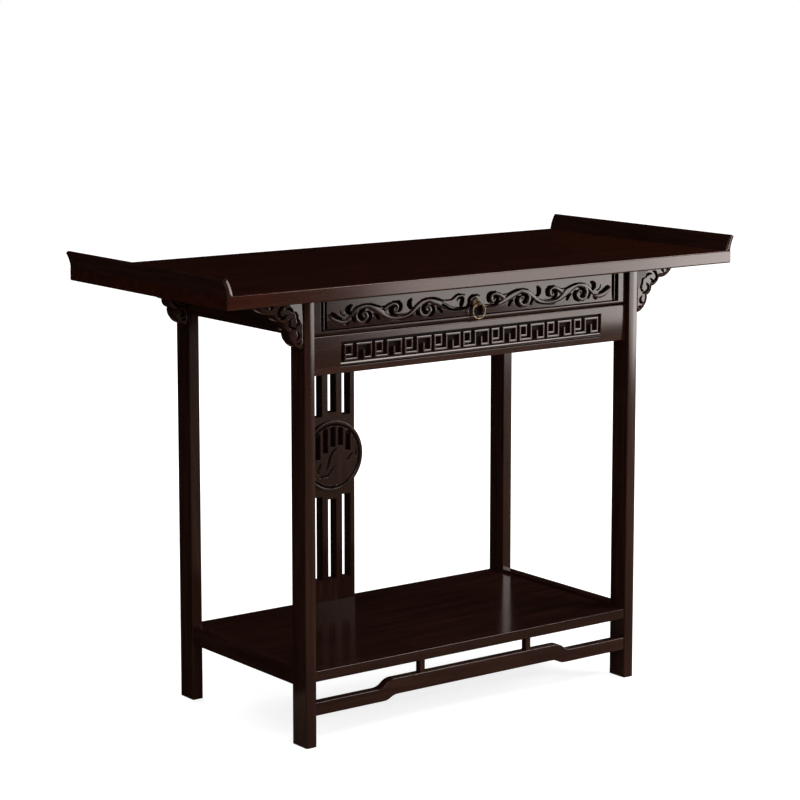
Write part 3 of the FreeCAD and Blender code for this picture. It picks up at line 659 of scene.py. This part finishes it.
def drawer_depth(x, z, low, high, foot, head):
    """Depth under the drawer's face: its eased edges, and the field with the scroll, beads and quirks."""
    outside = np.maximum.reduce([abs(x) - field_half_length, foot - z, z - head])
    depth = np.maximum.reduce([
        quarter_round(np.minimum(x - low.x, high.x - x), board_ease),
        quarter_round(high.z - z, board_ease),
        quarter_round(z - low.z, drawer_foot_ease),
        lip_depth(outside),
    ])
    cove = cove_rise * np.clip(1 - (z - foot) / cove_height, 0, 1) ** cove_power
    field = outside < 0
    depth[field] = field_depth - cove[field]
    carving = field & (abs(x) < end_quirks[0][0]) & (z > foot + foot_quirk)
    depth[carving] = carved(np.column_stack([x, z])[carving], depth[carving])
    bead = field & (abs(x) > end_quirks[0][1]) & (abs(x) < end_quirks[1][0])
    to_quirk = np.minimum(abs(x) - end_quirks[0][1], end_quirks[1][0] - abs(x))
    depth[bead] = end_bead_depth + quarter_round(to_quirk[bead], end_bead_round)
    for start, end in end_quirks:
        depth[field & (abs(x) > start) & (abs(x) < end)] = quirk_depth
    depth[field & (z < foot + foot_quirk)] = quirk_depth
    return depth


def make_drawer_front():
    """Drawer front with its carved field, whose deep places get painted shade."""
    low, high = [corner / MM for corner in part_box("drawer_front")]
    foot, head = low.z + field_margins[0], high.z - field_margins[1]
    xs, zs = drawer_lines(low, high, foot, head)
    x, z = [grid.ravel() for grid in np.meshgrid(xs, zs)]
    depth = drawer_depth(x, z, low, high, foot, head)
    points, faces = relief_board(xs, zs, low.y, high.y, depth)
    # Pockets, quirks and the hollow behind the ring take the darker lacquer: painted shade.
    shaded = depth > field_depth + shade_margin
    sunk = [sum(i < len(depth) and shaded[i] for i in face) > 1 for face in faces]
    piece = mesh_piece("drawer_front_carved", points, faces, (lacquers["carved"], painted_shade_lacquer), sunk)
    stand_for(piece, "drawer_front", "drawer")


class Builder:
    """Points and faces of one piece, gathered from several closed shapes."""

    def __init__(self):
        self.points = []
        self.faces = []

    def add(self, points, faces):
        """Take in the points and faces of one shape."""
        start = len(self.points)
        self.points.extend(points)
        self.faces.extend(tuple(index + start for index in face) for face in faces)

    def loft(self, loops):
        """Closed shape through loops of equal length, with flat ends. Sizes in millimetres."""
        count = len(loops[0])
        points = [(x * MM, y * MM, z * MM) for loop in loops for x, y, z in loop]
        faces = []
        for start in range(0, len(points) - count, count):
            for i in range(count):
                j = (i + 1) % count
                faces.append((start + i, start + j, start + count + j, start + count + i))
        faces.append(tuple(reversed(range(count))))
        faces.append(tuple(range(len(points) - count, len(points))))
        self.add(points, faces)


def mitred_bar(route, section):
    """Loops of a bar along a route of (x, z) points with square turns. A section point is (side, y)."""
    route = np.array(route, float)
    runs = np.diff(route, axis=0)
    runs = runs / np.linalg.norm(runs, axis=1)[:, None]
    normals = np.column_stack([-runs[:, 1], runs[:, 0]])
    loops = []
    for i, point in enumerate(route):
        before = normals[max(i - 1, 0)]
        after = normals[min(i, len(normals) - 1)]
        across = after if i in (0, len(route) - 1) else before + after
        loops.append([(point[0] + side * across[0], y, point[1] + side * across[1]) for side, y in section])
    return loops


def fret_route(left, foot):
    """One pair of hooks as a single stroke: a small spiral, a step up and a larger spiral."""
    near = fret_stroke / 2
    far = fret_height - near
    route = [
        (fret_stroke - fret_bed, fret_small_hook_rise),
        (fret_small_spiral, fret_small_hook_rise),
        (fret_small_spiral, far),
        (near, far),
        (near, near),
        (fret_step, near),
        (fret_step, far),
        (fret_large_spiral, far),
        (fret_large_spiral, near),
        (fret_large_hook, near),
        (fret_large_hook, fret_large_hook_rise),
    ]
    return [(left + x, foot + z) for x, z in route]


def apron_board(low, high):
    """Board between the legs with a bowed and eased face, and the sunk band of the fret."""
    half = -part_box("leg_front_left")[1].x / MM
    band = (low.z + band_foot, low.z + band_foot + band_height)
    xs = [(-half, half), step_lines(-band_half_length, -1), step_lines(band_half_length, 1)]
    zs = [edge_lines(low.z, high.z, board_ease), edge_lines(low.z, high.z, apron_top_ease)]
    zs += [step_lines(band[0], -1), step_lines(band[1], 1), spaced(*band, board_ease)]
    xs = np.unique(np.concatenate(xs))
    zs = np.unique(np.concatenate(zs))
    x, z = [grid.ravel() for grid in np.meshgrid(xs, zs)]
    bow = apron_bow * np.clip(1 - (z - low.z) / apron_bow_height, 0, 1) ** 2
    outside = np.maximum.reduce([abs(x) - band_half_length, band[0] - z, z - band[1]])
    depth = bow + np.maximum.reduce([
        quarter_round(z - low.z, board_ease),
        quarter_round(high.z - z, apron_top_ease),
        lip_depth(outside),
    ])
    depth[outside < 0] = fret_floor
    return relief_board(xs, zs, low.y, high.y, depth)


def add_fret(builder, low):
    """Bars of the fret and the bead under it, bedded in the floor of the band."""
    bed = low.y + fret_floor + fret_bed
    edge = fret_stroke / 2
    top = edge - fret_bevel[0]
    shoulder = low.y + fret_bevel[1]
    bar = [(-edge, bed), (edge, bed), (edge, shoulder), (top, low.y), (-top, low.y), (-edge, shoulder)]
    length = (fret_units - 1) * fret_pitch + fret_large_spiral + edge
    for unit in range(fret_units):
        route = fret_route(unit * fret_pitch - length / 2, low.z + fret_foot)
        builder.loft(mitred_bar(route, bar))
    bead_half = bead_height / 2
    bead = [
        (-bead_half, bed), (bead_half, bed), (bead_half, low.y + bead_slope_depth),
        (bead_front - bead_half, low.y), (-bead_half, low.y),
    ]
    bead_z = low.z + bead_foot + bead_half
    reach = band_half_length + fret_bed
    builder.loft(mitred_bar([(-reach, bead_z), (reach, bead_z)], bead))


def make_front_apron():
    """Front apron with the key fret over a floor in painted shade."""
    low, high = [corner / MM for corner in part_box("front_apron")]
    builder = Builder()
    builder.add(*apron_board(low, high))
    add_fret(builder, low)
    floor = MM * (low.y + fret_floor)
    # The fret's floor takes the darker lacquer: painted shade.
    sunk = [all(abs(builder.points[i][1] - floor) < same_place for i in face) for face in builder.faces]
    finishes = (lacquers["carved"], painted_shade_lacquer)
    piece = mesh_piece(
        "front_apron_fret", builder.points, builder.faces, finishes, sunk, fret_sharp_turn)
    stand_for(piece, "front_apron", "frame")


make_drawer_front()
make_front_apron()


# Flat carved boards: the brackets, the medallion and the everted ends, on outlines from the frame


def back_loops(node):
    """Outlines of a node's rear face, as loops of (x, z) in millimetres."""
    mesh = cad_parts[node].data
    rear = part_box(node)[1].y
    sides = set()
    for polygon in mesh.polygons:
        corners = [mesh.vertices[i].co for i in polygon.vertices]
        if any(abs(corner.y - rear) > same_place for corner in corners):
            continue
        keys = [
            (round(corner.x / MM, same_digits), round(corner.z / MM, same_digits)) for corner in corners]
        sides.update(zip(keys, keys[1:] + keys[:1]))
    links = {start: end for start, end in sides if (end, start) not in sides}
    loops = []
    while links:
        start, following = links.popitem()
        loop = [start]
        while following != start:
            loop.append(following)
            following = links.pop(following)
        loops.append(np.array(loop))
    return loops


def resampled(loop, spacing):
    """A loop with long sides divided."""
    rows = []
    for start, end in zip(loop, np.roll(loop, -1, axis=0)):
        count = max(1, round(np.linalg.norm(end - start) / spacing))
        rows.append(start + (end - start) * np.linspace(0, 1, count, endpoint=False)[:, None])
    return np.vstack(rows)


def inside(points, loops):
    """True where a point lies inside the outline and outside its holes."""
    state = np.zeros(len(points), bool)
    x, z = points[:, 0], points[:, 1]
    for loop in loops:
        for (x0, z0), (x1, z1) in zip(loop, np.roll(loop, -1, axis=0)):
            crosses = (z0 > z) != (z1 > z)
            rise = z1 - z0 if z1 != z0 else 1.0
            state ^= crosses & (x < x0 + (z - z0) * (x1 - x0) / rise)
    return state


def distance_to(points, outline):
    """Distance from points to the nearest point of an outline."""
    nearest = np.full(len(points), np.inf)
    for x, z in outline:
        np.minimum(nearest, np.hypot(points[:, 0] - x, points[:, 1] - z), out=nearest)
    return nearest


def fine_outline(node):
    """Points close together on the outlines of a node's rear face."""
    return np.vstack([resampled(loop, outline_spacing) for loop in back_loops(node)])


def board_plan(loops, fine, ease):
    """Points of a board's plan: its outline, rows along the eased edge, and a staggered grid inside."""
    outline = np.vstack(loops)
    rows = [outline]
    for share in ease_shares:
        for loop in loops:
            ahead = np.roll(loop, -1, axis=0) - np.roll(loop, 1, axis=0)
            ahead = ahead / np.linalg.norm(ahead, axis=1)[:, None]
            for sign in (-1, 1):
                row = loop + sign * share * ease * np.column_stack([ahead[:, 1], -ahead[:, 0]])
                row = row[inside(row, loops)]
                rows.append(row[distance_to(row, fine) > ease_crowding * share * ease])
    xs = spaced(outline[:, 0].min(), outline[:, 0].max(), board_spacing)
    zs = spaced(outline[:, 1].min(), outline[:, 1].max(), board_spacing)
    grid = np.array([(x + (row % 2) * board_spacing / 2, z) for row, z in enumerate(zs) for x in xs])
    grid = grid[inside(grid, loops)]
    grid = grid[distance_to(grid, fine) > ease + outline_spacing]
    return np.vstack([*rows, grid])


def carved_board(name, node, finishes, ease, carving):
    """Board with the outline of a node, eased edges and the same carving on both faces.
    The carving gives a depth for each point, and where the point is in painted shade."""
    low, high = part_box(node)
    loops = [resampled(loop, board_spacing) for loop in back_loops(node)]
    fine = fine_outline(node)
    plan = [Vector(point) for point in board_plan(loops, fine, ease)]
    edges = []
    start = 0
    for loop in loops:
        count = len(loop)
        edges.extend((start + i, start + (i + 1) % count) for i in range(count))
        start += count
    found = delaunay_2d_cdt(plan, edges, [], whole_hull, join_distance)
    places = np.array([tuple(point) for point in found[0]])
    triangles = np.array(found[2])
    triangles = triangles[inside(places[triangles].mean(axis=1), loops)]
    depth = quarter_round(distance_to(places, fine), ease)
    depth[: len(edges)] = ease
    cut, shaded = carving(places)
    depth = np.maximum(depth, cut)
    size = len(places)
    points = np.vstack([
        np.column_stack([places[:, 0] * MM, low.y + depth * MM, places[:, 1] * MM]),
        np.column_stack([places[:, 0] * MM, high.y - depth * MM, places[:, 1] * MM]),
    ])
    faces = [(int(a), int(b), int(c)) for a, b, c in triangles]
    used = {(face[i], face[(i + 1) % 3]) for face in faces for i in range(3)}
    faces += [(c + size, b + size, a + size) for a, b, c in faces]
    # Faces on shaded points take the darker lacquer: painted shade.
    sunk = [sum(shaded[i % size] for i in face) > 1 for face in faces]
    for start, end in edges:
        start, end = (start, end) if (start, end) in used else (end, start)
        faces.append((end, start, start + size, end + size))
        sunk.append(False)
    return mesh_piece(name, points, faces, finishes, sunk, board_sharp_turn)


def groove(points, strokes, depth, flank):
    """Depth of V-shaped grooves along strokes."""
    return depth * np.clip(-gap_to_strokes(points, strokes) / flank, 0, 1)


def make_bracket(end, side, sign):
    """Bracket with carved lobes that slope to its free edge. The sign is the way out along X."""
    node = f"bracket_{end}_{side}"
    low, high = [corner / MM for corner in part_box(node)]
    leg_side = low.x if sign > 0 else high.x
    strokes = []
    for stroke in bracket_grooves:
        strokes.append([(leg_side + sign * out, high.z - down, half) for out, down, half in stroke])
    rim = fine_outline(node)
    rim = rim[(abs(rim[:, 0] - leg_side) > board_spacing) & (high.z - rim[:, 1] > board_spacing)]

    def carving(points):
        out = abs(points[:, 0] - leg_side)
        down = high.z - points[:, 1]
        corner = corner_field_depth * np.clip(1 - out / corner_field[0] - down / corner_field[1], 0, 1)
        slope = rim_slope * np.clip(rim_width - distance_to(points, rim), 0, None)
        cuts = groove(points, strokes, groove_depth, groove_flank)
        # Groove bottoms deeper than the limit take painted shade.
        return np.maximum(corner, slope) + cuts, cuts > groove_shade_depth

    finishes = (lacquers["carved"], painted_shade_lacquer)
    piece = carved_board(node + "_carved", node, finishes, bracket_ease, carving)
    stand_for(piece, node, "frame")


for end in ("front", "back"):
    make_bracket(end, "left", -1)
    make_bracket(end, "right", 1)


def make_medallion():
    """Medallion with a ring groove, hills in lines, and the slots drawn up to the ring."""
    low, high = [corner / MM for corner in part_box("splat_medallion")]
    middle = (low + high) / 2
    ring_radius, ring_half = medallion_ring
    strokes = [[(middle.x + x, middle.z + z, half) for x, z, half in line] for line in ridge_lines]
    loops = sorted(back_loops("splat_medallion"), key=lambda loop: np.ptp(loop[:, 0]))
    for slot in loops[:-1]:
        half = np.ptp(slot[:, 0]) / 2
        x = slot[:, 0].max() - half
        ring_height = math.sqrt(ring_radius ** 2 - (x - middle.x) ** 2)
        strokes.append([
            (x, slot[:, 1].max() - half, half), (x, middle.z + ring_height - slot_head_gap * half, half)])

    def carving(points):
        radius = np.hypot(points[:, 0] - middle.x, points[:, 1] - middle.z)
        field = medallion_field_depth * (radius < medallion_field)
        ring = medallion_ring_depth * np.clip(1 - abs(radius - ring_radius) / ring_half, 0, 1)
        ridges = groove(points, strokes, ridge_depth, ridge_flank)
        # The ring groove and the ridge grooves, where deep, take painted shade.
        return np.maximum(field, ring) + ridges, np.maximum(ring, ridges) > groove_shade_depth

    finishes = (lacquers["post"], painted_shade_lacquer)
    piece = carved_board("splat_medallion_carved", "splat_medallion", finishes, medallion_ease, carving)
    stand_for(piece, "splat_medallion", "frame")


make_medallion()


def make_everted_end(node):
    """Everted strip whose two ends are worked to a shallow ridge."""
    outline = fine_outline(node)

    def nose(points):
        depth = end_nose_slope * np.clip(end_nose_width - distance_to(points, outline), 0, None)
        return depth, np.zeros(len(points), bool)

    piece = carved_board(node + "_eased", node, (lacquers["side"], painted_shade_lacquer), end_ease, nose)
    stand_for(piece, node, "frame")


for node in everted_ends:
    make_everted_end(node)


# Rosette: a domed flower plate


def make_rosette():
    """Domed plate with petals, in rings from its bore to its edge and back again behind."""
    low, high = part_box("pull_rosette")
    middle_z = (low.z + high.z) / 2
    radius = rosette_share * (high.x - low.x) / 2
    height = high.y - low.y
    points = []
    for ring in range(rosette_rings + 1):
        share = rosette_bore + (1 - rosette_bore) * ring / rosette_rings
        for spoke in range(rosette_spokes):
            angle = 2 * math.pi * spoke / rosette_spokes
            lobe = abs(math.cos(petals * angle / 2))
            reach = radius * share * (1 - petal_swing * share ** 2 * (1 - lobe))
            dome = rosette_plate + (1 - rosette_plate) * max(0.0, 1 - (share / rosette_dome) ** 2)
            rim = rosette_rim * math.sin(math.pi * max(0.0, (share - rosette_dome) / (1 - rosette_dome)))
            crease = petal_crease * share * (1 - lobe) ** 2
            edge = rosette_edge if ring == rosette_rings else 1.0
            y = high.y - height * edge * (dome + rim - crease)
            points.append((reach * math.cos(angle), y, middle_z + reach * math.sin(angle)))
    outer = points[-rosette_spokes:]
    points.extend((x, high.y, z) for x, _, z in outer)
    inner = points[:rosette_spokes]
    points.extend((x, high.y, z) for x, _, z in inner)
    faces = []
    for start in range(0, len(points), rosette_spokes):
        following = (start + rosette_spokes) % len(points)
        for spoke in range(rosette_spokes):
            after = (spoke + 1) % rosette_spokes
            faces.append((start + spoke, following + spoke, following + after, start + after))
    piece = mesh_piece("pull_rosette_flower", points, faces, (brass,))
    stand_for(piece, "pull_rosette", "drawer")


make_rosette()


# Stage, lights and camera


def combined(tree, operation, first, second):
    """One value from two."""
    node = tree.nodes.new("ShaderNodeMath")
    node.operation = operation
    tree.links.new(first, node.inputs[0])
    tree.links.new(second, node.inputs[1])
    return node.outputs["Value"]


def seen_directly(tree):
    """1 for rays from the camera and for mirrored or transmitted rays, 0 for the others."""
    path = tree.nodes.new("ShaderNodeLightPath")
    seen = path.outputs["Is Camera Ray"]
    for name in ("Is Glossy Ray", "Is Transmission Ray"):
        seen = combined(tree, "MAXIMUM", seen, path.outputs[name])
    return seen


def matt_material(name, colour):
    """Material of one colour without any shine."""
    material, tree, shader = new_material(name)
    shader.inputs["Base Color"].default_value = (*colour, 1.0)
    shader.inputs["Roughness"].default_value = 1.0
    shader.inputs["Specular IOR Level"].default_value = 0.0
    return material, tree, shader


def make_floor():
    """White floor that glows more the further it is from the object, and shows the shadow near it."""
    half = floor_half
    material, tree, shader = matt_material("floor_white", floor_colour)
    shader.inputs["Emission Color"].default_value = (1.0, 1.0, 1.0, 1.0)
    place = tree.nodes.new("ShaderNodeTexCoord").outputs["Object"]
    length = tree.nodes.new("ShaderNodeVectorMath")
    length.operation = "LENGTH"
    tree.links.new(place, length.inputs[0])
    glow = ranged(tree, length.outputs["Value"], *floor_glow)
    glow.node.interpolation_type = "SMOOTHSTEP"
    for name, distance in zip(("From Min", "From Max"), floor_glow_reach):
        glow.node.inputs[name].default_value = distance
    strength = combined(tree, "MULTIPLY", glow, seen_directly(tree))
    tree.links.new(strength, shader.inputs["Emission Strength"])
    corners = [(-half, -half, 0.0), (half, -half, 0.0), (half, half, 0.0), (-half, half, 0.0)]
    mesh_piece("floor", corners, [(0, 1, 2, 3)], (material,))


def make_cards():
    """Cards that keep white out of the lacquer's reflections, and are seen in nothing else."""
    points = []
    for ring in range(card_rings + 1):
        height = 0.5 * math.pi * ring / card_rings
        for side in range(card_sides):
            angle = 2 * math.pi * side / card_sides
            reach = card_radius * math.cos(height)
            rise = card_radius * math.sin(height)
            points.append((reach * math.cos(angle), reach * math.sin(angle), rise))
    faces = []
    for start in range(0, card_rings * card_sides, card_sides):
        for i in range(card_sides):
            j = (i + 1) % card_sides
            faces.append((start + j, start + i, start + card_sides + i, start + card_sides + j))
    warm = [False] * len(faces)
    for start, end in zip(card_turns, card_turns[1:]):
        faces.append(tuple(range(len(points), len(points) + card_sides + 1)))
        warm.append(start == card_turns[0])
        points.append((0.0, 0.0, card_lift))
        for angle in np.radians(np.linspace(start, end, card_sides)):
            points.append((card_radius * math.cos(angle), card_radius * math.sin(angle), card_lift))
    materials = (matt_material("card_dark", card_dark)[0], matt_material("card_warm", card_warm)[0])
    cards = mesh_piece("reflection_cards", points, faces, materials, warm)
    cards.visible_camera = False
    cards.visible_diffuse = False
    cards.visible_shadow = False
    cards.visible_transmission = False


def area_light(name, place, aim, size, power):
    """Rectangular light at a place, turned to what it is aimed at."""
    data = bpy.data.lights.new(name, "AREA")
    data.shape = "RECTANGLE"
    data.size, data.size_y = size
    data.energy = power
    light = bpy.data.objects.new(name, data)
    light.location = place
    light.rotation_euler = (Vector(aim) - Vector(place)).to_track_quat("-Z", "Y").to_euler()
    light.visible_camera = False
    bpy.context.scene.collection.objects.link(light)
    return light


def leave_out(light, nodes):
    """A light that doesn't shine on some nodes."""
    receivers = bpy.data.collections.new(light.name + "_receivers")
    for node in nodes:
        receivers.objects.link(shown[node])
    for receiver in receivers.collection_objects:
        receiver.light_linking.link_state = "EXCLUDE"
    light.light_linking.receiver_collection = receivers


def make_strips():
    """Upright strips of light in one row, all of them facing the table."""
    inward = Vector((-1, 1, 0)).normalized()
    along = Vector((1, 1, 0)).normalized()
    for strip, (start, end, foot, head, radiance) in enumerate(strips):
        place = Vector((*strip_row, (foot + head) / 2)) + (start + end) / 2 * along
        size = (end - start, head - foot)
        power = math.pi * radiance * size[0] * size[1]
        light = area_light(f"strip_{strip}", place, place + inward, size, power)
        leave_out(light, ("shelf_board",) if foot < strip_middle else flat_boards)


def make_world():
    """White background, dimmer as a light than it looks."""
    world = bpy.data.worlds.new("studio")
    bpy.context.scene.world = world
    world.use_nodes = True
    tree = world.node_tree
    background = tree.nodes["Background"]
    background.inputs["Color"].default_value = (1.0, 1.0, 1.0, 1.0)
    strength = ranged(tree, seen_directly(tree), sky_light, background_white)
    tree.links.new(strength, background.inputs["Strength"])


def make_camera():
    """Camera that sees the table as the photo shows it."""
    data = bpy.data.cameras.new("camera")
    data.lens = camera_lens
    data.sensor_width = camera_sensor
    data.shift_x, data.shift_y = camera_shift
    camera = bpy.data.objects.new("camera", data)
    camera.location = camera_place
    camera.rotation_euler = Euler((math.pi / 2 - camera_pitch, 0.0, -camera_yaw))
    bpy.context.scene.collection.objects.link(camera)
    bpy.context.scene.camera = camera


make_floor()
make_cards()
make_world()
make_strips()
area_light("high", high_place, high_aim, high_size, high_power)
area_light("fill", fill_place, fill_aim, fill_size, fill_power)
back = area_light("back", back_place, back_aim, back_size, back_power)
leave_out(back, (*flat_boards, *everted_ends, *shelf_rails))
make_camera()
bpy.context.scene.view_settings.view_transform = "Standard"
